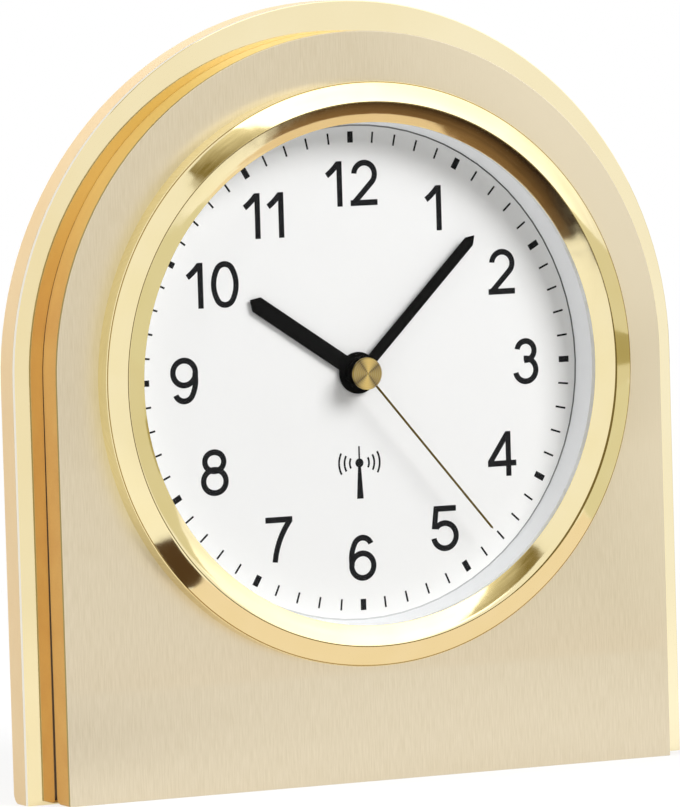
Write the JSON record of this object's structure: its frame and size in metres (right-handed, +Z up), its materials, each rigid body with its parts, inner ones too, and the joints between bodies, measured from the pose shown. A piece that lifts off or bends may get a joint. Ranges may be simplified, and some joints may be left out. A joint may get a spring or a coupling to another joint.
{
  "type": "table clock",
  "caption": "Arch-shaped table clock of stacked gold blocks, with a round white dial under glass in a polished bezel, a radio-controlled quartz movement and a rear foot.",
  "frame": {"origin": "on the table, under the middle of the clock's box", "axes": "+Z up, the dial faces -Y, +X to the right seen from the front"},
  "size_m": [0.15, 0.05, 0.16],
  "materials": {
    "brushed_champagne": "fine vertical brushing, champagne anodised",
    "satin_gold_lacquer": "fibreboard with satin ochre gold lacquer",
    "mirror_gold": "mirror-polished gold",
    "pale_gold_lacquer": "fibreboard with satin pale gold lacquer",
    "polished_brass": "polished",
    "clear_glass": "polished flat pane",
    "white_plastic": "smooth moulded",
    "white_dial": "matt white enamel with black print",
    "black_lacquer": "satin black lacquer",
    "gilt": "gilt",
    "turned_brass": "fine-turned face",
    "gear_plastic": "moulded acetal",
    "rotor_magnet": "sintered magnet",
    "core_iron": "stamped soft iron",
    "copper_wire": "enamelled wire winding",
    "black_plastic": "fine spark texture",
    "zinc_steel": "zinc plated",
    "green_board": "solder mask",
    "black_resin": "moulded resin",
    "nickel_can": "nickel plated",
    "grey_button": "moulded",
    "ferrite": "ground ferrite",
    "battery_sleeve": "plain printed sleeve",
    "gold_painted_steel": "satin gold paint",
    "pad_rubber": "matt"
  },
  "bodies": {
    "cabinet": {"face_sheet": "brushed_champagne", "front_block": "satin_gold_lacquer", "mirror_sheet": "mirror_gold", "back_block": "pale_gold_lacquer", "block_screws": "zinc_steel", "bezel": "polished_brass", "glass": "clear_glass", "depth_ring": "white_plastic", "dial": "white_dial", "minute_stator": "core_iron", "second_stator": "core_iron", "minute_coil": "copper_wire", "second_coil": "copper_wire", "movement_case": "black_plastic", "movement_cover": "black_plastic", "cover_screws": "zinc_steel", "movement_screws": "zinc_steel", "gear_bridge": "gear_plastic", "circuit_board": "green_board", "controller_chip": "black_resin", "quartz_crystal": "nickel_can", "button_switches": "nickel_can", "antenna_rod": "ferrite", "antenna_coil": "copper_wire", "battery": "battery_sleeve", "battery_contact_plus": "nickel_can", "battery_contact_minus": "nickel_can", "foot_angle": "gold_painted_steel", "foot_screws": "zinc_steel", "foot_pads": "pad_rubber"},
    "hour_train": {"hour_wheel": "gear_plastic", "hour_hand": "black_lacquer"},
    "minute_train": {"minute_wheel": "gear_plastic", "minute_hand": "black_lacquer"},
    "second_train": {"second_wheel": "gear_plastic", "second_hand": "gilt", "second_cap": "turned_brass"},
    "motion_train": {"motion_wheel": "gear_plastic"},
    "minute_transfer": {"minute_transfer_wheel": "gear_plastic"},
    "minute_motor": {"minute_rotor": "rotor_magnet"},
    "second_transfer": {"second_transfer_wheel": "gear_plastic"},
    "second_motor": {"second_rotor": "rotor_magnet"},
    "set_key": {"set_button": "grey_button"},
    "receive_key": {"receive_button": "grey_button"}
  },
  "joints": [
    {"name": "minute_turn", "type": "hinge", "parent": "cabinet", "child": "minute_train", "pos_m": [0, 0, 0.0838], "axis": [0, 1, 0], "continuous": true},
    {"name": "hour_turn", "type": "hinge", "parent": "cabinet", "child": "hour_train", "pos_m": [0, 0, 0.0838], "axis": [0, 1, 0], "continuous": true},
    {"name": "motion_turn", "type": "hinge", "parent": "cabinet", "child": "motion_train", "pos_m": [-0.00987, 0, 0.08021], "axis": [0, 1, 0], "continuous": true},
    {"name": "minute_transfer_turn", "type": "hinge", "parent": "cabinet", "child": "minute_transfer", "pos_m": [-0.01273, 0, 0.09115], "axis": [0, 1, 0], "continuous": true},
    {"name": "minute_motor_turn", "type": "hinge", "parent": "cabinet", "child": "minute_motor", "pos_m": [-0.01704, 0, 0.10299], "axis": [0, 1, 0], "continuous": true},
    {"name": "second_turn", "type": "hinge", "parent": "cabinet", "child": "second_train", "pos_m": [0, 0, 0.0838], "axis": [0, 1, 0], "continuous": true},
    {"name": "second_transfer_turn", "type": "hinge", "parent": "cabinet", "child": "second_transfer", "pos_m": [0.01273, 0, 0.09115], "axis": [0, 1, 0], "continuous": true},
    {"name": "second_motor_turn", "type": "hinge", "parent": "cabinet", "child": "second_motor", "pos_m": [0.01704, 0, 0.10299], "axis": [0, 1, 0], "continuous": true},
    {"name": "set_press", "type": "slide", "parent": "cabinet", "child": "set_key", "axis": [0, -1, 0], "range_m": [0, 0.0006], "stiffness_N_per_m": 3300},
    {"name": "receive_press", "type": "slide", "parent": "cabinet", "child": "receive_key", "axis": [0, -1, 0], "range_m": [0, 0.0006], "stiffness_N_per_m": 3300}
  ],
  "couplings": [
    {"joint": "hour_turn", "follows": "minute_turn", "ratio": 0.083333},
    {"joint": "motion_turn", "follows": "minute_turn", "ratio": -0.25},
    {"joint": "minute_transfer_turn", "follows": "minute_turn", "ratio": -6},
    {"joint": "minute_motor_turn", "follows": "minute_turn", "ratio": 30},
    {"joint": "second_transfer_turn", "follows": "second_turn", "ratio": -6},
    {"joint": "second_motor_turn", "follows": "second_turn", "ratio": 30}
  ]
}
